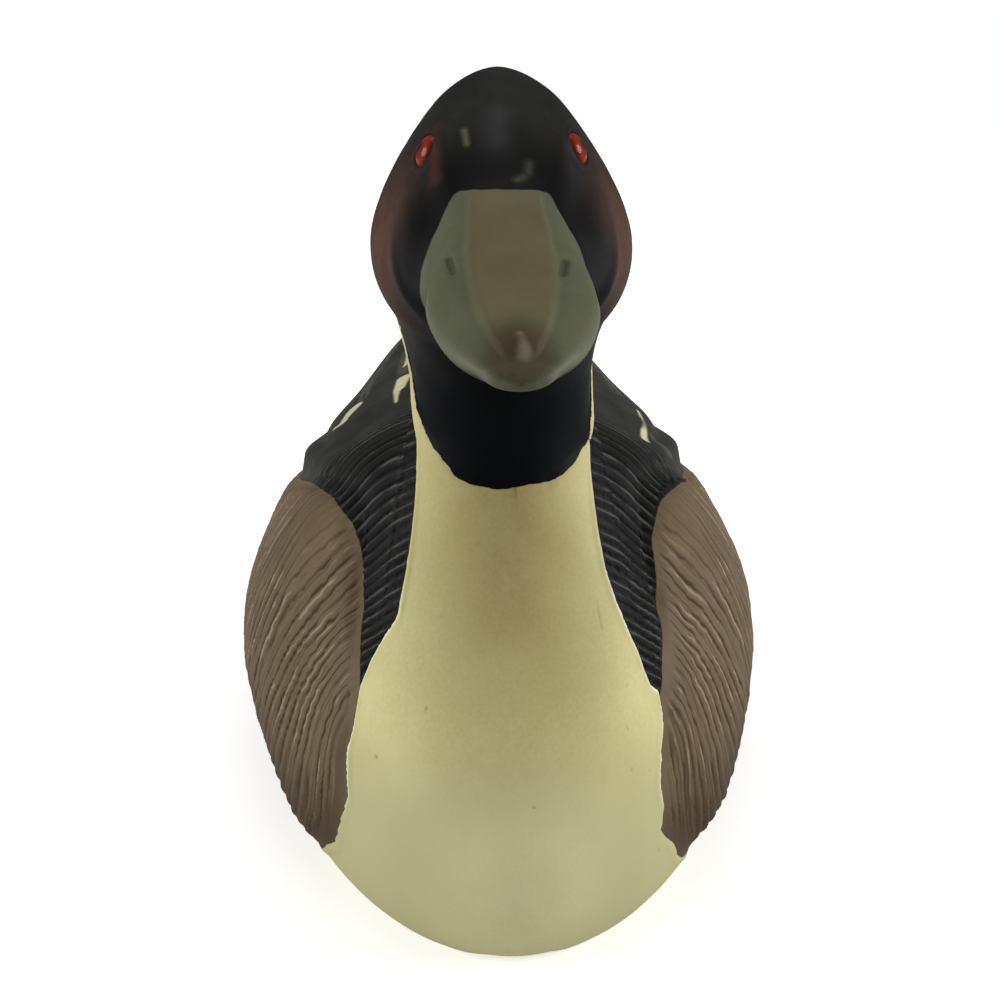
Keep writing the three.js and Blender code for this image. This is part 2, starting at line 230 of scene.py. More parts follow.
FLANK_OUTLINE = {
    -1: [*FLANK_REAR, (6.5, 34.8), (7.36, 40.9), (8.65, 45.1), (9.55, 42.7), (10.04, 37), (10.39, 28.3),
         (10.7, 16.6), (10.72, 10.9), (10.76, -1), *SEAM[-1][::-1]],
    1: [*FLANK_REAR, (6.5, 34.5), (7.36, 39), (7.88, 40.5), (8.34, 42.8), (9.07, 43.9), (9.53, 42.1),
        (9.96, 36.9), (10.22, 30.8), (10.54, 17.9), (10.59, 11.6), (10.7, 1.1), (10.77, -8),
        (10.72, -14), *SEAM[1][::-1]],
}
BILL_OUTLINE = {
    -1: [(18.45, -95), (18.5, -50), (18.58, -20), (18.69, 2.8), (18.86, 14.6), (18.97, 32.1),
         (18.93, 45.5), (18.9, 51), (18.89, 55), (18.93, 60), (19.02, 68), (19.12, 77), (19.17, 95),
         (25, 95), (25, -95)],
    1: [(18.45, -95), (18.5, -60), (18.66, -20), (18.85, 0), (19.03, 13.3), (19.23, 35.6), (19.18, 44),
        (19.12, 50), (19.03, 55), (18.98, 59), (19.01, 64), (19.09, 71), (19.15, 80), (19.17, 95),
        (25, 95), (25, -95)],
}


def inside_outline(outline, t, phi):
    """True for the points that lie inside an outline of stations and degrees."""
    crossings = np.zeros(t.shape, int)
    for (t0, p0), (t1, p1) in zip(outline, outline[1:] + outline[:1]):
        if p0 == p1:
            continue
        spans = (phi < max(p0, p1)) & (phi >= min(p0, p1))
        crossings += spans & (t < t0 + (phi - p0) * (t1 - t0) / (p1 - p0))
    return crossings % 2 == 1


def distance_to(lines, points):
    """Distance in millimetres from each point to the nearest place of the lines on the carved body."""
    dense = []
    for side, line in lines:
        line = np.array(line, float)
        shares = np.linspace(0, 1, 24, endpoint=False)[:, None]
        spread = np.concatenate([a + (b - a) * shares for a, b in zip(line, line[1:])] + [line[-1:]])
        spread = spread[np.abs(spread[:, 1]) <= 90]
        dense.append(carved_body(spread[:, 0], spread[:, 1]) * (side, 1, 1))
    dense = np.concatenate(dense)
    tree = KDTree(len(dense))
    for i, place in enumerate(dense):
        tree.insert(place, i)
    tree.balance()
    return np.array([tree.find(p)[2] for p in points])


def flowing(outline):
    """A closed outline drawn again as a smooth curve through its points."""
    ring = np.array(outline, float)
    before, after, beyond = (np.roll(ring, shift, 0) for shift in (1, -1, -2))
    square = 2 * before - 5 * ring + 4 * after - beyond
    cube = 3 * ring - before - 3 * after + beyond
    curve = [0.5 * (2 * ring + (after - before) * u + square * u ** 2 + cube * u ** 3)
             for u in np.linspace(0, 1, 6)[:-1]]
    return [tuple(place) for place in np.stack(curve, 1).reshape(-1, 2)]


def painted_area(outlines, t, phi, side, points):
    """Distance in millimetres to the edge of a painted area, positive inside it."""
    lines = [(s, outline + outline[:1]) for s, outline in outlines]
    inside = np.zeros(t.shape, bool)
    for s, outline in outlines:
        inside |= (side == s) & inside_outline(outline, t, phi)
    return distance_to(lines, points) * np.where(inside, 1, -1)


# The skin as a net of quads, closer where the duck is carved or painted finely.
SPACING = 1.45
COLUMNS = 120
CAP_ROWS = 8
IVORY_BAND, EYE_BAND = 1.4, 3.2
EYE_CENTRE = np.array((5.6, -55.9, 70))
fine = np.linspace(0, LAST, 2301)
speeds = [np.linalg.norm(np.gradient(smooth_body(fine, np.full(fine.shape, float(a))), fine, axis=0),
                         axis=1) for a in range(-90, 91, 15)]
travel = np.concatenate([[0], np.cumsum(np.max(speeds, 0)[:-1] * np.diff(fine))])
rows = np.interp(np.linspace(0, travel[-1], int(travel[-1] / SPACING)), travel, fine)
cap = np.linspace(0, 1, CAP_ROWS + 1)[1:]
rows = np.concatenate([-cap[::-1], rows, LAST + cap])
turns = np.linspace(-90, 270, COLUMNS + 1)

net = bmesh.new()
station_layer = net.verts.layers.float.new("station")
turn_layer = net.verts.layers.float.new("turn")
flat_angles = np.linspace(-90, -40, 501)
grid = []
for t in rows:
    row_turns = turns.copy()
    depth = smooth_body(np.full(flat_angles.shape, np.clip(t, 0, LAST)), flat_angles)[:, 2]
    if depth[0] < 0 <= t <= LAST:
        # One column on each side stands on the rim of the flat base.
        rim = flat_angles[np.argmax(depth > 0)]
        column = max(int(np.argmin(np.abs(turns - rim))), 1)
        row_turns[column] = rim
        row_turns[COLUMNS - column] = 180 - rim
    line = []
    for turn in row_turns:
        vertex = net.verts.new((8 * t, turn / 2, 0))  # laid out flat while it is cut
        vertex[station_layer] = t
        vertex[turn_layer] = turn
        line.append(vertex)
    grid.append(line)
for lower, upper in zip(grid, grid[1:]):
    for j in range(COLUMNS):
        net.faces.new((lower[j], lower[j + 1], upper[j + 1], upper[j]))


def fold_turn(turn):
    """Degrees round the section, and side, of a turn that runs once round the body."""
    return np.where(turn > 90, 180 - turn, turn), np.where(turn > 90, -1.0, 1.0)


def on_side(points, side):
    """Points of the duck's left, moved to the side that is asked for."""
    return points * np.stack([side, np.ones(side.shape), np.ones(side.shape)], -1)


def split(zone, along=0, around=0):
    """Cuts the quads of a zone: along adds rows to them, and around adds columns."""
    for cuts, layer, other in ((along, station_layer, turn_layer), (around, turn_layer, station_layer)):
        if not cuts:
            continue
        middles = np.array([[sum(v[l] for v in face.verts) / len(face.verts)
                             for l in (station_layer, turn_layer)] for face in net.faces])
        wanted = zone(middles[:, 0], *fold_turn(middles[:, 1]))
        edges = {edge for face, chosen in zip(net.faces, wanted) if chosen for edge in face.edges
                 if abs(edge.verts[0][layer] - edge.verts[1][layer]) > 1e-6
                 and abs(edge.verts[0][other] - edge.verts[1][other]) < 1e-6}
        bmesh.ops.subdivide_edges(net, edges=list(edges), cuts=cuts, use_grid_fill=True)


def flank_zone(t, phi, side):
    top, bottom = flank_edges(t)
    return (t > 1.9) & (t < 10.85) & (phi > bottom - 3) & (phi < top + 4)


def cape_zone(t, phi, side):
    edge = np.where(t > 10.6, -30, flank_edges(t)[0] + 4)
    return (t > 7.1) & (t < 13.2) & (phi > edge)


def wing_zone(t, phi, side):
    return (t > 2.2) & (t < 7.1) & (phi > flank_edges(t)[0] + 8)


def ivory_zone(t, phi, side):
    lines = [(s, outline[2:-1]) for s, outline in IVORY_OUTLINE.items()]
    return distance_to(lines, on_side(carved_body(t, phi), side)) < IVORY_BAND


def eye_zone(t, phi, side):
    return np.linalg.norm(carved_body(t, phi) - EYE_CENTRE, axis=-1) < EYE_BAND


split(lambda *at: (flank_zone(*at) | ivory_zone(*at)) & ~cape_zone(*at), along=1, around=1)
split(lambda *at: flank_zone(*at) & (at[0] > 7), along=2)
split(cape_zone, along=1, around=2)
split(wing_zone, around=1)
split(lambda t, phi, side: (t > 18.9) & (t < 23), along=3)
split(eye_zone, along=3, around=2)


def layer_values(mesh, name):
    values = np.empty(len(mesh.vertices), np.float32)
    mesh.attributes[name].data.foreach_get("value", values)
    return values.astype(float)


t = np.array([v[station_layer] for v in net.verts])
phi, side = fold_turn(np.array([v[turn_layer] for v in net.verts]))
for vertex, place in zip(net.verts, on_side(carved_body(t, phi), side)):
    vertex.co = place
# The two edges of the net meet along the belly, and its end rows close to a point.
bmesh.ops.remove_doubles(net, verts=net.verts, dist=2e-3)
duck_mesh = bpy.data.meshes.new("duck_decoy")
net.to_mesh(duck_mesh)
net.free()

t = layer_values(duck_mesh, "station")
phi, side = fold_turn(layer_values(duck_mesh, "turn"))
points = on_side(carved_body(t, phi), side)
normals = on_side(outward(np.clip(t, 0, LAST), phi), side)

# Small carved lines: nostrils, the line of the mouth, and the edges of the wing and tail feathers.
NOSTRIL = {-1: [(20.16, 47), (20.54, 53)], 1: [(20.34, 55), (20.68, 61)]}
MOUTH = [(18.9, -26), (20, -24), (21.2, -21)]
FEATHER_LINES = [
    [(6.1, 56), (5.2, 54), (4, 55), (2.9, 59), (2.5, 66)],
    [(6.0, 67), (5.2, 65), (4.2, 66), (3.3, 71), (2.9, 80)],
    [(5.9, 79), (5.4, 77.5), (4.8, 79), (4.2, 85)],
    [(2.1, 18), (0.1, 12)], [(2.0, 38), (0.2, 34)], [(1.9, 58), (0.3, 56)],
]
NAIL_MIDDLE = carved_body(22.55, 90) + (-0.1, 0, 0)
NAIL_SIZE = (0.95, 1.2, 1.5)
BILL_EDGE = [(19.4, 0), (22.9, 0), (22.98, -12), (22.98, -40), (22.98, -90)]


def both_sides(*lines):
    return [(s, line) for line in lines for s in (-1, 1)]


ivory = painted_area(IVORY_OUTLINE.items(), t, phi, side, points)
flank = painted_area([(s, flowing(line)) for s, line in FLANK_OUTLINE.items()], t, phi, side, points)
bill = painted_area(BILL_OUTLINE.items(), t, phi, side, points)
mouth = distance_to(both_sides(MOUTH), points)
feather = distance_to(both_sides(*FEATHER_LINES), points)
bill_edge = distance_to(both_sides(BILL_EDGE), points)
# Fine relief in millimetres: the thick lip of the ivory paint, then each line and the nail, with how
# far it rises, or is cut in, and how wide it is.
PAINT_LIP = Sizes(step=0.15, brim=0.1, place=0.3, width=0.25)
FINE_RELIEF = [
    (distance_to(NOSTRIL.items(), points), -0.32, 0.26), (mouth, -0.25, 0.24), (feather, -0.22, 0.3),
    (np.linalg.norm((points - NAIL_MIDDLE) / NAIL_SIZE, axis=1), 0.38, 0.9), (bill_edge, 0.12, 0.45),
]
height = (PAINT_LIP.step * ramp(-PAINT_LIP.step, PAINT_LIP.step, ivory)
          + PAINT_LIP.brim * bump(PAINT_LIP.place, PAINT_LIP.width, ivory))
for distance, rise, width in FINE_RELIEF:
    height += rise * bump(0, width, distance)
points += normals * height[:, None]

# Sockets: the skin is cut back round each eye and pressed up into a thin lid over the glass.
EYE_AXIS = np.array((0.82, -0.42, 0.38)) / np.linalg.norm((0.82, -0.42, 0.38))
LID = Sizes(around=4, deep=2.5, level=0.5, flatten=0.8, outer=2.7, inner=1.7, rim=1.55, width=0.24,
            rise=0.2, opening=1.28, edge=0.12, floor=-0.45)
for sign in (-1, 1):
    mirror = np.array((sign, 1, 1))
    axis = EYE_AXIS * mirror
    from_eye = points - EYE_CENTRE * mirror
    level = from_eye @ axis
    reach = np.linalg.norm(from_eye - level[:, None] * axis, axis=1)
    near = (side == sign) & (reach < LID.around) & (np.abs(level) < LID.deep)
    orbit = level + (LID.level - level) * LID.flatten * ramp(LID.outer, LID.inner, reach)
    orbit += LID.rise * bump(LID.rim, LID.width, reach)
    orbit += (LID.floor - orbit) * ramp(LID.opening + LID.edge, LID.opening - LID.edge, reach)
    points = np.where(near[:, None], points + (orbit - level)[:, None] * axis, points)
points[:, 2] = np.maximum(points[:, 2], 0)
duck_mesh.vertices.foreach_set("co", (points * MM).astype(np.float32).ravel())


def keep_on_skin(**fields):
    """Keeps a number for each point of the skin, under the name by which paint and grooves read it."""
    for name, values in fields.items():
        layer = duck_mesh.attributes.new(name, "FLOAT", "POINT")
        layer.data.foreach_set("value", np.asarray(values, np.float32))


# Carved grooves. A small gouge has cut hair-fine feather barbs in rows over the flanks and the cape.
# Guide strokes give the number of the groove that passes there, counted along each flank from its
# front top and over the cape from its edge, and the rest are spread evenly between them.
FLANK_GUIDES = {
    -5: [(20.5, -29.5, 33), (22.5, -29.5, 30), (24.5, -31, 26), (26.5, -31, 22.5)],
    -3: [(17, -38.5, 33), (20, -36, 30.5), (22.5, -34.5, 28), (25.5, -34.5, 21.5)],
    0: [(16, -46.5, 29), (18, -44, 27.5), (20.5, -42, 25), (21.5, -42, 23), (23, -41.5, 20),
        (25, -39.5, 16.5)],
    4: [(15, -50, 27), (16.5, -49, 25.5), (18.5, -47, 24), (19.5, -47, 21), (20.5, -47.5, 18.5),
        (22, -47, 15), (22.5, -47.5, 13)],
    6: [(15, -51, 26), (16.5, -50.5, 24), (18.5, -49.5, 21), (20, -50, 17), (20.5, -50, 14.5),
        (20, -52, 12.5)],
    7: [(15.5, -52, 24), (17, -51.5, 21.5), (18.5, -51, 18.5), (19, -52, 16.5), (19, -53, 13.5)],
    8.4: [(14.5, -53.5, 23.5), (16, -54, 21), (17.5, -54, 17.5), (18.5, -53.5, 15), (18.5, -54, 13.5),
          (18.5, -55, 11)],
    9.6: [(14.5, -54, 22.5), (15.5, -54.5, 21), (16, -55, 19.5), (17, -55.5, 17), (17, -56, 14.5),
          (17, -56, 12)],
    11: [(14, -55, 22.5), (15, -55, 20.5), (15.5, -56, 18.5), (16, -56.5, 17), (16, -56.5, 14.5),
         (16, -56.5, 11.5)],
    12.6: [(14, -56, 21.5), (14, -57, 18.5), (14.5, -57.5, 15), (15, -57.5, 11.5)],
}
CAPE_GUIDES = {
    -9: [(0, -12, 43.2), (12, -10, 40.7), (20, -5, 36), (23, -3, 33)],
    -3: [(0, -20, 42.8), (10, -18.5, 41.3), (17, -15, 38), (20.5, -13, 35)],
    0: [(8, -49, 45), (12, -26, 40), (15.5, -23, 37.5), (19, -23, 34)],
    2.5: [(8, -50, 43), (11.5, -36, 39.2), (14, -33, 37), (16, -33.5, 35)],
    5: [(8, -51, 40), (10.5, -47, 38.5), (12.5, -41, 35.5), (15, -39.5, 34)],
    7.5: [(8.5, -52, 38), (10.5, -50.5, 36.5), (13, -46, 32.7)],
    10.6: [(9, -53, 35), (11, -51.5, 33.5), (13.2, -49, 31)],
    14: [(10, -55, 32), (12.3, -53, 29.5)],
    19: [(12, -56, 26.3), (13.3, -55, 25)],
}
# On the rear half the strokes carry on by rule, nine grooves apart: each starts just under the crest
# of the flank and slants to the rear on its way down.
REAR_STATIONS, REAR_GROOVES, REAR_SLANT = (8.3, 7, 5.7, 4.4, 3.2, 2.2), 9, 1.25
for k, station in enumerate(REAR_STATIONS):
    share = np.linspace(0, 1, 4)
    crest = carved_edge(np.array(station))
    stroke = carved_body(station - REAR_SLANT * share, crest - 2 - (34 + crest) * share)
    FLANK_GUIDES[-REAR_GROOVES * (k + 1)] = [tuple(place) for place in stroke]


def groove_numbers(guides, points, blur, slack, lengthwise=1):
    """Numbers spread smoothly over the points between the guide strokes, which may be missed by some
    slack. Lengthwise is the share for which a distance along the duck counts."""
    seen = np.array((1, lengthwise, 1))
    places = np.array([place for stroke in guides.values() for place in stroke], float) * seen
    numbers = np.array([number for number, stroke in guides.items() for _ in stroke], float)
    points = points * seen
    n = len(places)

    def reach(gaps):
        return np.sqrt((gaps ** 2).sum(-1) + blur ** 2)

    system = np.zeros((n + 4, n + 4))
    system[:n, :n] = reach(places[:, None] - places) - slack * np.eye(n)
    system[:n, n] = system[n, :n] = 1
    system[:n, n + 1:] = places
    system[n + 1:, :n] = places.T
    weights = np.linalg.solve(system, np.concatenate([numbers, np.zeros(4)]))
    result = weights[n] + points @ weights[n + 1:]
    for place, weight in zip(places, weights):
        result += weight * reach(points - place)
    return result


# The flank's cuts stand a little closer than its guides, and the cape's turn down the farther out
# they lie. The front top of each flank is left nearly smooth.
FLANK_CLOSER = 1.08
CAPE_TURN = Sizes(slope=0.1, crest=3, bend=0.026, start=11)
folded = np.column_stack([np.abs(points[:, 0]), points[:, 1:]])
top_notch = np.linalg.norm(folded - carved_body(8.9, 44), axis=1)
smooth_band = 0.2 + 0.8 * ramp(25, 5, phi) * ramp(8.6, 9.6, t)
keep_on_skin(
    flank_number=FLANK_CLOSER * groove_numbers(FLANK_GUIDES, folded, blur=3.5, slack=4),
    cape_number=(groove_numbers(CAPE_GUIDES, folded, blur=5, slack=2, lengthwise=0.4)
                 - CAPE_TURN.slope * np.hypot(folded[:, 0], CAPE_TURN.crest)
                 - CAPE_TURN.bend * np.maximum(folded[:, 0] - CAPE_TURN.start, 0) ** 2),
    flank_depth=(ramp(0, 1.4, flank - smooth_band) * ramp(2.2, 3, t)
                 * (0.3 + 0.7 * ramp(3, 11, top_notch))),
    cape_depth=(ramp(0, 0.45, np.minimum(-ivory, -flank)) * ramp(6.9, 7.7, t)
                * ramp(13.3, 12.8, t + 1.4 * ramp(20, 70, phi)) * ramp(-36, -28, phi)))

# How deep the gouge cuts, how far a cut wavers (in grooves), how much of it is broken up, the noise
# behind both (in lumps to the millimetre), and the shape of one cut with the scratches beside it.
GROOVE_SEED = 7
FLANK_DEPTH, CAPE_DEPTH = 0.38 * MM, 0.42 * MM
FLANK_WAVER, CAPE_WAVER = 0.9, 0.25
FLANK_BROKEN, CAPE_BROKEN = 0.8, 0.35
WAVER_SCALE, STREAK_SCALE = 0.25, 0.2
MIDDLE_LEVEL, VALLEY_SHARPNESS = 0.6, 1.6
SCRATCHES_PER_GROOVE, SCRATCH_DEPTH = 2.3, 0.4


def feed(tree, node, inputs):
    """Feeds a node with other nodes' sockets or with plain values."""
    for key, value in inputs.items():
        if isinstance(value, bpy.types.NodeSocket):
            tree.links.new(value, node.inputs[key])
        else:
            node.inputs[key].default_value = value
    return node


def add(tree, kind, inputs=None, **settings):
    """A node of that kind with its settings and what feeds it."""
    node = tree.nodes.new(kind)
    for name, value in settings.items():
        setattr(node, name, value)
    return feed(tree, node, inputs or {})


def reckon(tree, operation, *values, clamp=False):
    node = add(tree, "ShaderNodeMath", dict(enumerate(values)), operation=operation, use_clamp=clamp)
    return node.outputs[0]


def times(tree, value, factor):
    return reckon(tree, "MULTIPLY", value, factor)


def stretched(tree, vector, factor):
    return add(tree, "ShaderNodeVectorMath", {0: vector, "Scale": factor}, operation="SCALE").outputs[0]


def groove_profile(tree, place, number, waver, seed, broken, scratches=True):
    """Rounded ridges with sharp valleys at each whole number: about 1 on a ridge and 0 in a valley.
    Streaks along the cuts, where the gouge slipped or bit deeper, break them up, and show the fine
    scratches of the blade between them."""
    noise = add(tree, "ShaderNodeTexNoise", {"Vector": place, "W": seed, "Scale": WAVER_SCALE / MM,
                                             "Detail": 2.5, "Roughness": 0.6}, noise_dimensions="4D")
    shift = times(tree, reckon(tree, "SUBTRACT", noise.outputs[0], 0.5), waver)
    wavered = reckon(tree, "ADD", number, shift)
    axes = add(tree, "ShaderNodeSeparateXYZ", {0: place}).outputs
    grid = add(tree, "ShaderNodeCombineXYZ", {0: wavered, 1: times(tree, axes[1], STREAK_SCALE / MM),
                                              2: times(tree, axes[2], STREAK_SCALE / MM)}).outputs[0]
    streak = add(tree, "ShaderNodeTexNoise", {"Vector": grid, "W": seed, "Scale": 1.0, "Detail": 3.0,
                                              "Roughness": 0.6}, noise_dimensions="4D").outputs[0]
    depth = add(tree, "ShaderNodeMapRange", {"Value": streak, "From Min": 0.4, "From Max": 0.6,
                                             "To Min": reckon(tree, "SUBTRACT", 1.0, broken),
                                             "To Max": 1.25}).outputs[0]
    cuts = [(1.0, depth)]
    if scratches:
        faint = times(tree, reckon(tree, "SUBTRACT", 1.3, depth), SCRATCH_DEPTH)
        cuts.append((SCRATCHES_PER_GROOVE, faint))
    profile = MIDDLE_LEVEL
    for count, share in cuts:
        gap = reckon(tree, "PINGPONG", times(tree, wavered, count), 0.5)
        slope = reckon(tree, "SUBTRACT", 1.0, times(tree, gap, 2.0))
        ridge = reckon(tree, "SUBTRACT", 0.4, reckon(tree, "POWER", slope, VALLEY_SHARPNESS))
        profile = reckon(tree, "MULTIPLY_ADD", ridge, share, profile)
    return profile


grooves = bpy.data.node_groups.new("Carved grooves", "GeometryNodeTree")
for name, kind in (("Skin", "Geometry"), ("Flank depth", "Float"), ("Cape depth", "Float"),
                   ("Flank waver", "Float"), ("Cape waver", "Float"), ("Seed", "Int"),
                   ("Paint", "Material")):
    grooves.interface.new_socket(name=name, in_out="INPUT", socket_type="NodeSocket" + kind)
grooves.interface.new_socket(name="Skin", in_out="OUTPUT", socket_type="NodeSocketGeometry")
entry = add(grooves, "NodeGroupInput").outputs
place = add(grooves, "GeometryNodeInputPosition").outputs[0]


def named(name):
    return add(grooves, "GeometryNodeInputNamedAttribute", {"Name": name},
               data_type="FLOAT").outputs[0]


cuts = []
for area, broken in (("flank", FLANK_BROKEN), ("cape", CAPE_BROKEN)):
    profile = groove_profile(grooves, place, named(area + "_number"), entry[area.title() + " waver"],
                             entry["Seed"], broken, scratches=False)
    cut = times(grooves, reckon(grooves, "SUBTRACT", profile, MIDDLE_LEVEL),
                entry[area.title() + " depth"])
    cuts.append(times(grooves, cut, named(area + "_depth")))
normal = add(grooves, "GeometryNodeInputNormal").outputs[0]
offset = stretched(grooves, normal, reckon(grooves, "ADD", *cuts))
carved = add(grooves, "GeometryNodeSetPosition", {"Geometry": entry["Skin"], "Offset": offset})
real = add(grooves, "GeometryNodeRealizeInstances", {"Geometry": carved.outputs[0]})
painted = add(grooves, "GeometryNodeSetMaterial", {"Geometry": real.outputs[0],
                                                       "Material": entry["Paint"]})
add(grooves, "NodeGroupOutput", {"Skin": painted.outputs[0]})


# Paint. The casting is brushed with satin paints by hand, darker ones over lighter ones: ivory below,
# grey brown on the flanks, charcoal over cape, back and tail, a glossy black bib and a dark head with
# airbrushed brown cheeks. The carved ridges are paler, partly rubbed paint and partly painted
# highlight, the valleys between them are darker as painted shade, and the edges are a little ragged.
CHEEK_SIZE, NAIL_STAIN = (3.6, 6.6, 8.0), (1, 1.1, 1)
cheek_middle = carved_body(16.6, -4)
keep_on_skin(
    ivory=ivory, flank=flank, bill=bill, mouth=np.minimum(mouth, 5), feather=np.minimum(feather, 5),
    cheek=bump(0, 1, np.linalg.norm((folded - cheek_middle) / CHEEK_SIZE, axis=1)),
    bill_edge=bump(0, 0.5, bill_edge),
    neck=ramp(12.95, 13.3, t),
    head=ramp(15.3, 16.4, t),
    back=ramp(9.4, 7.4, t),
    culmen=ramp(30, 18, 90 - phi) * ramp(22.2, 21.6, t),
    nail=ramp(3.4, 0.6, np.linalg.norm((points - NAIL_MIDDLE) / NAIL_STAIN, axis=1)),
    bill_tip=ramp(22.4, 22.9, t) * ramp(-5, 45, phi),
    # Painted shade on the underside of the bill.
    under_bill=ramp(5, -25, phi) * ramp(18.6, 19.4, t) * ramp(23, 22.7, t))


def colour(red, green, blue):
    """A screen colour, 0 to 255, as the light that the shader works with."""
    screen = np.array((red, green, blue)) / 255
    light = np.where(screen <= 0.04045, screen / 12.92, ((screen + 0.055) / 1.055) ** 2.4)
    return (*light, 1)


def new_group(name, inputs, output):
    """A shader node group with its inputs and the names of what it gives out."""
    group = bpy.data.node_groups.new(name, "ShaderNodeTree")
    for label, value in inputs.items():
        kind = ("NodeSocketFloat" if isinstance(value, float)
                else "NodeSocketVector" if isinstance(value, Vector) else "NodeSocketColor")
        group.interface.new_socket(name=label, in_out="INPUT", socket_type=kind).default_value = value
    for label in output:
        kind = "NodeSocketColor" if label == "Colour" else "NodeSocketFloat"
        group.interface.new_socket(name=label, in_out="OUTPUT", socket_type=kind)
    return group, add(group, "NodeGroupInput").outputs


def use(tree, group, inputs):
    return add(tree, "ShaderNodeGroup", inputs, node_tree=group).outputs


def smooth_step(tree, start, end, value):
    return add(tree, "ShaderNodeMapRange", {"Value": value, "From Min": start, "From Max": end},
               interpolation_type="SMOOTHSTEP").outputs[0]


def lay_over(tree, mask, under, over):
    """Colour over colour where the mask is 1."""
    return add(tree, "ShaderNodeMix", {0: mask, 6: under, 7: over}, data_type="RGBA").outputs[2]


def between(tree, mask, low, high):
    return add(tree, "ShaderNodeMix", {0: mask, 2: low, 3: high}, data_type="FLOAT").outputs[0]


def own_place(tree):
    """The object's own coordinates."""
    return add(tree, "ShaderNodeTexCoord").outputs["Object"]


def object_noise(tree, scale, detail=3.0, roughness=0.55):
    """Noise on the object's own coordinates, scale in lumps to the millimetre."""
    size = reckon(tree, "DIVIDE", scale, MM) if isinstance(scale, bpy.types.NodeSocket) else scale / MM
    return add(tree, "ShaderNodeTexNoise", {"Vector": own_place(tree), "Scale": size, "Detail": detail,
                                            "Roughness": roughness}).outputs[0]


def brush_edge(group, lumps, distance, given):
    """Mask from the distance to an edge in millimetres, made ragged by a trembling brush."""
    tremble = reckon(group, "SUBTRACT", object_noise(group, lumps, 4.0, 0.65), 0.5)
    reached = reckon(group, "MULTIPLY_ADD", tremble, times(group, given["Ragged"], 4.0), distance)
    return smooth_step(group, times(group, given["Soft"], -1.0), given["Soft"], reached)


# Edge of a hand-painted area, from its distance.
edging, given = new_group("Brushed edge", {"Distance": 0.0, "Ragged": 0.15, "Soft": 0.05}, ["Mask"])
add(edging, "NodeGroupOutput", {"Mask": brush_edge(edging, 0.9, given["Distance"], given)})

# Paint that dried unevenly: patches some millimetres wide, and a fine grain.
mottle, given = new_group("Uneven paint", {"Thin": (0, 0, 0, 1), "Full": (1, 1, 1, 1), "Patches": 0.12,
                                           "Grain": 3.0}, ["Colour"])
patches = object_noise(mottle, given["Patches"], 4.0, 0.6)
grain = object_noise(mottle, given["Grain"], 2.0, 0.5)
cover = smooth_step(mottle, 0.3, 0.7, reckon(mottle, "MULTIPLY_ADD", grain, 0.25,
                                             times(mottle, patches, 0.75)))
add(mottle, "NodeGroupOutput", {"Colour": lay_over(mottle, cover, given["Thin"], given["Full"])})

# Small dark specks scattered in the paint: Share of the cells hold one, Size is its radius in a cell.
speckle, given = new_group("Specks", {"Cells": 0.3, "Share": 0.2, "Size": 0.1}, ["Mask"])
cells = add(speckle, "ShaderNodeTexVoronoi", {
    "Vector": own_place(speckle), "Scale": reckon(speckle, "DIVIDE", given["Cells"], MM)}).outputs
draw = add(speckle, "ShaderNodeSeparateColor", {0: cells["Color"]}).outputs
size = times(speckle, given["Size"], reckon(speckle, "ADD", draw[1], 0.35))
spot = smooth_step(speckle, size, times(speckle, size, 0.6), cells["Distance"])
chosen = reckon(speckle, "LESS_THAN", draw[0], given["Share"])
add(speckle, "NodeGroupOutput", {"Mask": times(speckle, spot, chosen)})

# A dab of the brush from one place to another, in millimetres, with a width at each end.
dab, given = new_group("Brush dab", {"Start": Vector(), "End": Vector((0, 0, 1)), "Start width": 1.0,
                                     "End width": 1.0, "Ragged": 0.1, "Soft": 0.06}, ["Mask"])


def measure(operation, *vectors):
    node = add(dab, "ShaderNodeVectorMath", dict(enumerate(vectors)), operation=operation)
    return node.outputs["Value" if operation in ("DOT_PRODUCT", "LENGTH") else "Vector"]


place = stretched(dab, own_place(dab), 1 / MM)
course = measure("SUBTRACT", given["End"], given["Start"])
gone = measure("SUBTRACT", place, given["Start"])
share = reckon(dab, "DIVIDE", measure("DOT_PRODUCT", gone, course),
               measure("DOT_PRODUCT", course, course), clamp=True)
beside = measure("LENGTH", measure("SUBTRACT", gone, stretched(dab, course, share)))
half = times(dab, between(dab, share, given["Start width"], given["End width"]), 0.5)
depth = reckon(dab, "SUBTRACT", half, beside)
add(dab, "NodeGroupOutput", {"Mask": brush_edge(dab, 1.3, depth, given)})

# Gouge cuts: the same ridges and valleys as those in the skin, sharper, for bump and for colour: the
# valleys are painted darker as painted shade, and the glints on the ridge tops are painted highlights.
gouge, given = new_group("Gouge cuts", {"Number": 0.0, "Depth": 1.0, "Waver": 0.5, "Broken": 0.5},
                         ["Ridge", "Valley", "Glint"])
profile = groove_profile(gouge, own_place(gouge), given["Number"], given["Waver"], float(GROOVE_SEED),
                         given["Broken"])
add(gouge, "NodeGroupOutput", {
    "Ridge": times(gouge, profile, given["Depth"]),
    "Valley": times(gouge, smooth_step(gouge, 0.72, 0.1, profile), given["Depth"]),
    "Glint": times(gouge, smooth_step(gouge, 0.9, 1.06, profile), given["Depth"])})


def new_material(name):
    """A material with its node tree and its shader."""
    material = bpy.data.materials.new(name)
    material.use_nodes = True
    return material, material.node_tree, material.node_tree.nodes["Principled BSDF"]


paint, tree, shader = new_material("satin_paint")


def on_skin(name):
    """A number kept on the skin of the piece that is being painted."""
    return add(tree, "ShaderNodeAttribute", attribute_name=name).outputs["Fac"]


def brushed(name, ragged, soft):
    return use(tree, edging, {"Distance": on_skin(name), "Ragged": ragged, "Soft": soft})["Mask"]


def uneven(thin, full, patches=0.12):
    return use(tree, mottle, {"Thin": colour(*thin), "Full": colour(*full),
                              "Patches": patches})["Colour"]


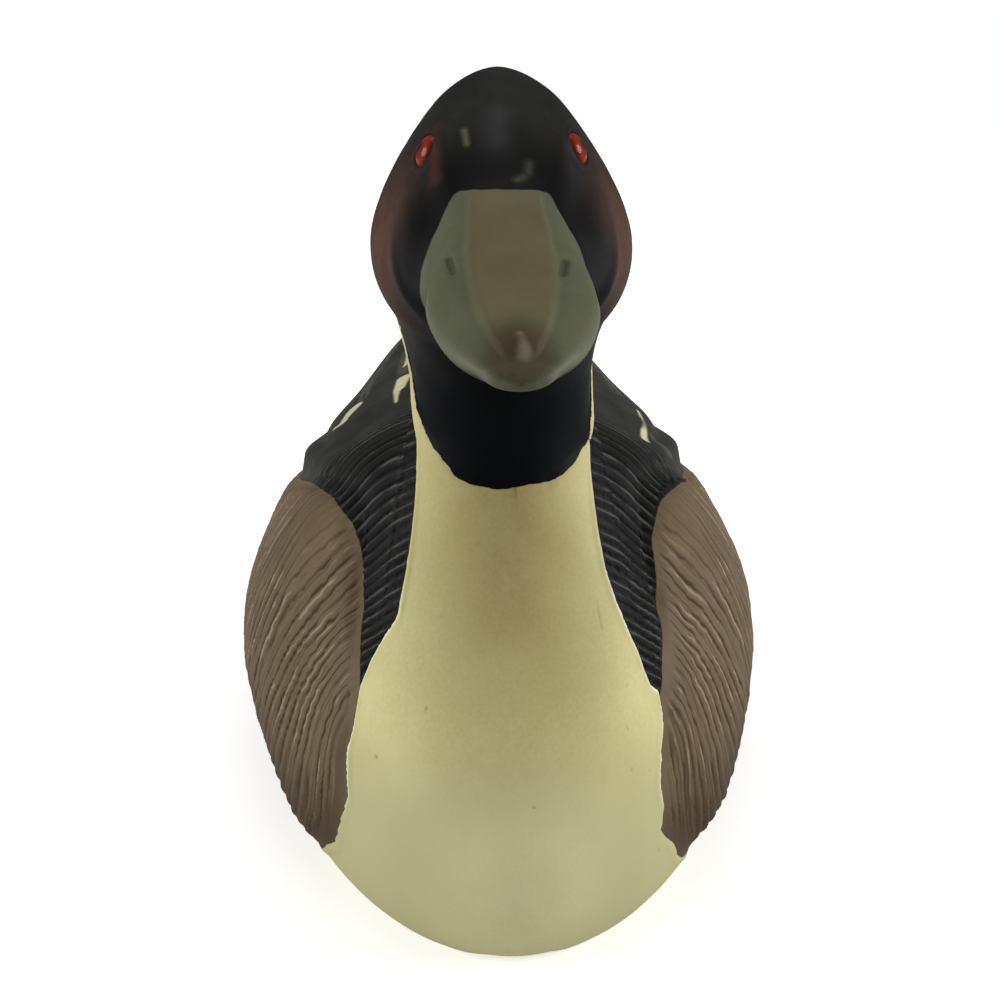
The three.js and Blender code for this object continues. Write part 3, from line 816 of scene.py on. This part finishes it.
def glaze(under, *coats):
    """Coats laid over a colour one after another: where, how dense, and in which colour."""
    for mask, density, over in coats:
        under = lay_over(tree, mask if density == 1 else times(tree, mask, density), under, over)
    return under


ivory_mask = brushed("ivory", 0.1, 0.04)
flank_mask = brushed("flank", 0.03, 0.08)
bill_mask = brushed("bill", 0.03, 0.08)
neck_mask, head_mask = on_skin("neck"), on_skin("head")
cape_cuts, flank_cuts = (
    use(tree, gouge, {"Number": on_skin(area + "_number"), "Depth": on_skin(area + "_depth"),
                      "Waver": waver, "Broken": broken})
    for area, waver, broken in (("cape", CAPE_WAVER, CAPE_BROKEN),
                                ("flank", FLANK_WAVER, FLANK_BROKEN)))


def dabs(marks, ragged, soft):
    """Mask of brush dabs: side, then station, degrees and width in millimetres at each end."""
    mask = None
    for sign, (t0, phi0, width0), (t1, phi1, width1) in marks:
        start, end = (Vector(carved_body(t, phi) * (sign, 1, 1)) for t, phi in ((t0, phi0), (t1, phi1)))
        one = use(tree, dab, {"Start": start, "End": end, "Start width": width0, "End width": width1,
                              "Ragged": ragged, "Soft": soft})["Mask"]
        mask = one if mask is None else reckon(tree, "MAXIMUM", mask, one)
    return mask


cream_dabs = dabs([
    (-1, (6.2, 67.2, 2.1), (6.55, 66, 1.7)), (-1, (6.5, 66, 1.7), (6.8, 64.6, 0.4)),
    (-1, (5.1, 66, 0.5), (5.7, 66.6, 0.8)), (-1, (6.42, 48.3, 0.7), (6.45, 51, 1.6)),
    (-1, (6.38, 51.5, 1.8), (6.24, 53.6, 3.0)), (1, (6.25, 50.4, 0.5), (7.0, 49.2, 1.2))],
    ragged=0.06, soft=0.25)
pale_fleck = dabs([(-1, (18.2, 67.7, 0.35), (18.38, 68.3, 0.25))], ragged=0.04, soft=0.35)
# Grey: two worn chips on the head, and a painted highlight on the notch of the shoulder lobe.
chips_and_lobe_highlight = dabs([
    (1, (6.75, 47.5, 1.0), (6.95, 43, 1.5)), (1, (18.9, 78, 0.25), (18.96, 83, 0.25)),
    (1, (18.7, 74, 0.2), (18.82, 75, 0.2))], ragged=0.08, soft=0.6)
# Dark in the carved nostril slits.
nostril_dark = dabs([(s, (*top, 0.5), (*foot, 0.36)) for s, (top, foot) in NOSTRIL.items()],
                    ragged=0.02, soft=0.16)
red_smear = dabs([(-1, (17.85, 53.5, 0.5), (18.4, 43.5, 1.0))], ragged=0.1, soft=0.7)
scratches = dabs([
    (-1, (10.85, -25, 0.4), (10.84, -24.4, 0.3)), (-1, (11.49, -47, 0.4), (11.47, -46.6, 0.2)),
    (1, (12.02, -39, 0.16), (11.83, -38.3, 0.24)), (1, (11.45, -41.3, 0.12), (11.13, -33.1, 0.24))],
    ragged=0.04, soft=0.15)
# A painted highlight on the nail.
nail_shine = dabs([(1, (22.42, 89.5, 0.3), (22.85, 84, 0.9))], ragged=0.02, soft=0.35)
# A painted highlight on the forehead.
forehead_shine = dabs([(-1, (18.1, 88, 1.0), (18.45, 87, 1.4))], ragged=0.1, soft=1.4)
place = add(tree, "ShaderNodeSeparateXYZ", {0: stretched(tree, own_place(tree), 1 / MM)}).outputs


def by_height(none, full):
    """Mask by the height over the floor in millimetres: 0 at none, 1 at full."""
    return smooth_step(tree, none, full, place[2])


# Charcoal over the cape, back and tail. The smooth back is paler grey, partly its own paint and partly
# painted sheen; the ridges are paler, partly rubbed paint and partly painted highlight, with painted
# glints on their tops, and the valleys are near black as painted shade.
feather_line = on_skin("feather")
charcoal = glaze(
    uneven((12, 13, 12), (20, 21, 19)),
    # Paler grey on the smooth back: partly its own paint, partly painted sheen.
    (on_skin("back"), 1, uneven((42, 43, 38), (58, 59, 53), 0.2)),
    # Paler ridges with painted highlights, painted shade in the valleys and painted glints on the ridge
    # tops.
    (cape_cuts["Ridge"], 0.8, colour(29, 31, 29)),
    (cape_cuts["Valley"], 1, colour(4, 4, 4)),
    (cape_cuts["Glint"], 0.8, colour(78, 81, 76)),
    (smooth_step(tree, 1.3, 0.4, feather_line), 0.35, colour(112, 110, 96)),
    (smooth_step(tree, 0.42, 0.2, feather_line), 1, colour(9, 9, 9)))

# Grey brown on the flanks, pinkish on the ridges, which are partly rubbed paint and partly painted
# highlight, with painted glints on their tops and painted shade in the valleys, and darker near the
# floor.
brown = glaze(
    uneven((100, 84, 64), (114, 98, 77), 0.15),
    # Paler ridges with painted highlights, painted shade in the valleys and painted glints on the ridge
    # tops.
    (flank_cuts["Ridge"], 0.35, colour(122, 105, 84)),
    (flank_cuts["Valley"], 0.85, colour(56, 44, 31)),
    (flank_cuts["Glint"], 0.7, colour(162, 144, 122)),
    (by_height(17, 8), 1, colour(80, 66, 51)))

# Ivory, yellowed down the middle, partly a stain and partly painted shade of the head, greyer towards
# its foot as painted shade but paler low in the middle as painted light, with a painted highlight along
# the raised lip of its edge, scratches and faint specks.
middle = smooth_step(tree, 11, 1, reckon(tree, "ABSOLUTE", place[0]))
specks = use(tree, speckle, {"Cells": 0.34, "Share": 0.5, "Size": 0.065})["Mask"]
# A painted highlight along the raised lip at the edge of the ivory.
lip_highlight = times(tree, smooth_step(tree, 0.42, 0.1, on_skin("ivory")),
                   times(tree, by_height(36, 30), by_height(11, 18)))
pale = glaze(
    uneven((200, 191, 134), (217, 211, 156), 0.07),
    # Yellow brown down the middle: partly a stain, partly painted shade of the head.
    (times(tree, middle, by_height(14, 36)), 1, uneven((166, 152, 98), (184, 171, 118), 0.1)),
    # Greyer towards the foot as painted shade.
    (by_height(24, 14), 0.8, colour(190, 185, 140)),
    # Paler low in the middle as painted light.
    (times(tree, middle, by_height(22, 12)), 1, uneven((218, 212, 158), (229, 224, 174), 0.1)),
    (times(tree, specks, by_height(32, 14)), 0.35, colour(112, 104, 68)),
    (scratches, 0.6, colour(96, 84, 56)),
    (lip_highlight, 1, colour(238, 236, 206)))

# Blue black on the bib, near black on the head, with a painted highlight on the forehead, brown cheeks,
# and darkest along the bill.
face = glaze(
    uneven((27, 27, 26), (37, 37, 36), 0.2),
    (forehead_shine, 0.7, colour(62, 62, 62)),
    (on_skin("cheek"), 1, uneven((76, 54, 42), (92, 68, 54), 0.3)),
    (smooth_step(tree, -5.5, -1.5, on_skin("bill")), 1, colour(14, 14, 14)))
dark = glaze(
    uneven((2, 4, 7), (4, 6, 10), 0.2),
    (head_mask, 1, face),
    (red_smear, 0.5, colour(84, 46, 36)))

# Grey green on the bill, browner on its flat ridge and brown round the nail, with a painted highlight
# on the nail and painted shade underneath.
horn = glaze(
    uneven((86, 89, 69), (95, 97, 77), 0.3),
    (on_skin("culmen"), 1, uneven((88, 84, 61), (97, 92, 67), 0.25)),
    (on_skin("nail"), 1, colour(70, 62, 44)),
    (nostril_dark, 0.95, colour(12, 13, 9)),
    (nail_shine, 0.95, colour(186, 176, 158)),
    (on_skin("bill_edge"), 0.6, colour(118, 120, 102)),
    (smooth_step(tree, 0.3, 0.05, on_skin("mouth")), 1, colour(40, 38, 28)),
    # Painted shade under the bill.
    (on_skin("under_bill"), 1, colour(58, 57, 47)),
    (on_skin("bill_tip"), 0.75, uneven((60, 54, 40), (72, 68, 52), 0.5)))

whole_duck = glaze(
    charcoal,
    (flank_mask, 1, brown),
    (cream_dabs, 1, uneven((190, 186, 150), (214, 211, 178), 0.5)),
    (neck_mask, 1, dark),
    (ivory_mask, 1, pale),
    (bill_mask, 1, horn),
    (pale_fleck, 0.75, colour(112, 108, 78)),
    (chips_and_lobe_highlight, 0.6, colour(96, 97, 90)))

# Satin: a very thin varnish all over, thickest on the bill, thinner on the bib and none on the head.
smear = object_noise(tree, 0.5, 4.0)
varnish = between(tree, neck_mask, 0.03, between(tree, head_mask, 0.02, 0.0))
varnish = between(tree, bill_mask, varnish, between(tree, on_skin("nail"), 0.06, 0.0))

# Fine relief of the paint: the gouge cuts, the lip of the ivory, and the strokes of the brush.
dent = {}
for relief, depth, strength in (
        (reckon(tree, "ADD", cape_cuts["Ridge"], flank_cuts["Ridge"]), 0.12, 0.8),
        (ivory_mask, 0.08, 0.7), (object_noise(tree, 2.5), 0.02, 0.5)):
    dent = {"Normal": add(tree, "ShaderNodeBump", {"Height": relief, "Distance": depth * MM,
                                                   "Strength": strength, **dent}).outputs[0]}
feed(tree, shader, {
    "Base Color": whole_duck, "Roughness": between(tree, smear, 0.45, 0.62), "Coat Roughness": 0.3,
    "Coat Weight": times(tree, varnish, between(tree, smear, 0.8, 1.2)), "Specular IOR Level": 0.06,
    **dent})


def put(name, data):
    """A new object in the scene."""
    thing = bpy.data.objects.new(name, data)
    bpy.context.scene.collection.objects.link(thing)
    return thing


# The grooves are cut into the skin, and the duck stands for the plain casting.
duck = put("duck_decoy", duck_mesh)
cutter = duck.modifiers.new("Carved grooves", "NODES")
cutter.node_group = grooves
sizes = {"Flank depth": FLANK_DEPTH, "Cape depth": CAPE_DEPTH, "Flank waver": FLANK_WAVER,
         "Cape waver": CAPE_WAVER, "Seed": GROOVE_SEED, "Paint": paint}
for socket in grooves.interface.items_tree:
    if socket.in_out == "INPUT" and socket.name in sizes:
        cutter[socket.identifier] = sizes[socket.name]
graph = bpy.context.evaluated_depsgraph_get()
carved_mesh = bpy.data.meshes.new_from_object(duck.evaluated_get(graph), preserve_all_data_layers=True,
                                              depsgraph=graph)
duck.modifiers.clear()
duck.data = carved_mesh
carved_mesh.shade_smooth()
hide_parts("duck")
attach(duck, "root")

# Glass eyes: two flat buttons of glass, orange red behind and with a black pupil, cemented in the
# sockets so that a low dome shows between the lids. Sizes are millimetres.
EYE_RADIUS = 1.5
EYE_FLAT = 0.7
PUPIL_SHIFT = Vector((0, 0.5, 0.05))
PUPIL_RADIUS, IRIS_RADIUS = 0.52, 1.2
glass, tree, shader = new_material("eye_glass")
reach = on_skin("reach")
iris = glaze(
    colour(84, 21, 12),
    (smooth_step(tree, 0.3, 1.1, reach), 1, colour(136, 44, 23)),
    (smooth_step(tree, IRIS_RADIUS, 1.75, reach), 1, colour(70, 18, 12)),
    (smooth_step(tree, PUPIL_RADIUS, 0.4, reach), 1, colour(8, 5, 5)))
feed(tree, shader, {"Base Color": iris, "Roughness": 0.16, "Specular IOR Level": 0.12})
for name, sign in (("left_eye_glass", 1), ("right_eye_glass", -1)):
    axis = Vector(EYE_AXIS * (sign, 1, 1))
    button = bmesh.new()
    bmesh.ops.create_uvsphere(button, u_segments=48, v_segments=28, radius=EYE_RADIUS)
    reach_layer = button.verts.layers.float.new("reach")
    turned = axis.to_track_quat("Z", "Y").to_matrix().to_4x4()
    for vertex in button.verts:
        vertex[reach_layer] = (turned.to_3x3() @ vertex.co - PUPIL_SHIFT).cross(axis).length
    placed = (Matrix.Translation(Vector(EYE_CENTRE * (sign, 1, 1))) @ turned
              @ Matrix.Diagonal((1, 1, EYE_FLAT, 1)))
    bmesh.ops.transform(button, matrix=Matrix.Scale(MM, 4) @ placed, verts=button.verts)
    bmesh.ops.recalc_face_normals(button, faces=button.faces)
    eye_mesh = bpy.data.meshes.new(name)
    button.to_mesh(eye_mesh)
    button.free()
    eye_mesh.shade_smooth()
    eye_mesh.materials.append(glass)
    eye = put(name, eye_mesh)
    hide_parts(name.replace("_glass", ""))
    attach(eye, "root")

# Studio: a wide pale floor that the camera sees lighter than the duck does, a broad soft light from
# each side, a softer one overhead, a weak one in front, and a white room that is dim for the duck.
FLOOR_SPAN = 40.0
floor_mesh = bpy.data.meshes.new("floor")
corners = [(x * FLOOR_SPAN, y * FLOOR_SPAN, 0) for x, y in ((-1, -1), (1, -1), (1, 1), (-1, 1))]
floor_mesh.from_pydata(corners, [], [(0, 1, 2, 3)])
matte, tree, shader = new_material("pale_floor")
looked_at = add(tree, "ShaderNodeLightPath").outputs["Is Camera Ray"]
feed(tree, shader, {
    "Base Color": lay_over(tree, looked_at, colour(150, 150, 148), colour(245, 245, 244)),
    "Emission Color": lay_over(tree, looked_at, (0.28, 0.28, 0.28, 1), (0.5, 0.5, 0.5, 1)),
    "Emission Strength": 1, "Roughness": 0.9})
floor_mesh.materials.append(matte)
floor = put("floor", floor_mesh)

for name, place, breadth, power in (("left", (-0.95, -0.06, 0.36), 30, 2.0),
                                    ("right", (0.95, -0.06, 0.36), 30, 2.4),
                                    ("overhead", (0, 0.15, 1), 50, 0.8),
                                    ("front", (0, -1, 0.3), 70, 0.3)):
    lamp = bpy.data.lights.new(name, "SUN")
    lamp.angle = math.radians(breadth)
    lamp.energy = power
    put(name, lamp).rotation_euler = Vector(place).to_track_quat("Z", "Y").to_euler()

world = bpy.data.worlds.new("studio")
world.use_nodes = True
room = world.node_tree
backdrop = feed(room, room.nodes["Background"], {"Color": (1, 1, 1, 1), "Strength": 1.0})
dim = add(room, "ShaderNodeBackground", {"Color": (1, 1, 1, 1), "Strength": 0.12})
seen = add(room, "ShaderNodeLightPath").outputs["Is Camera Ray"]
mixed = add(room, "ShaderNodeMixShader", {0: seen, 1: dim.outputs[0], 2: backdrop.outputs[0]})
room.links.new(mixed.outputs[0], room.nodes["World Output"].inputs["Surface"])
bpy.context.scene.world = world
bpy.context.scene.view_settings.view_transform = "Standard"

# Camera: a little over the duck and nearly straight in front of it, looking down at its face. Place,
# turns and focal length are those of the perspective that fits the photograph.
CAMERA_PLACE = Vector((-3.33, -152.1, 68.8)) * MM
PITCH, YAW, ROLL = (math.radians(angle) for angle in (15.9, 1.61, -1.05))
FOCAL_LENGTH, SENSOR_WIDTH = 41.94, 36
forward = Vector((math.sin(YAW) * math.cos(PITCH), math.cos(YAW) * math.cos(PITCH), -math.sin(PITCH)))
level = forward.cross(Vector((0, 0, 1))).normalized()
upright = level.cross(forward)
right = math.cos(ROLL) * level + math.sin(ROLL) * upright
up = -math.sin(ROLL) * level + math.cos(ROLL) * upright
lens = bpy.data.cameras.new("camera")
lens.lens = FOCAL_LENGTH
lens.sensor_width = SENSOR_WIDTH
lens.clip_start = 0.01
camera = put("camera", lens)
camera.matrix_world = Matrix((
    (right.x, up.x, -forward.x, CAMERA_PLACE.x), (right.y, up.y, -forward.y, CAMERA_PLACE.y),
    (right.z, up.z, -forward.z, CAMERA_PLACE.z), (0, 0, 0, 1)))
bpy.context.scene.camera = camera
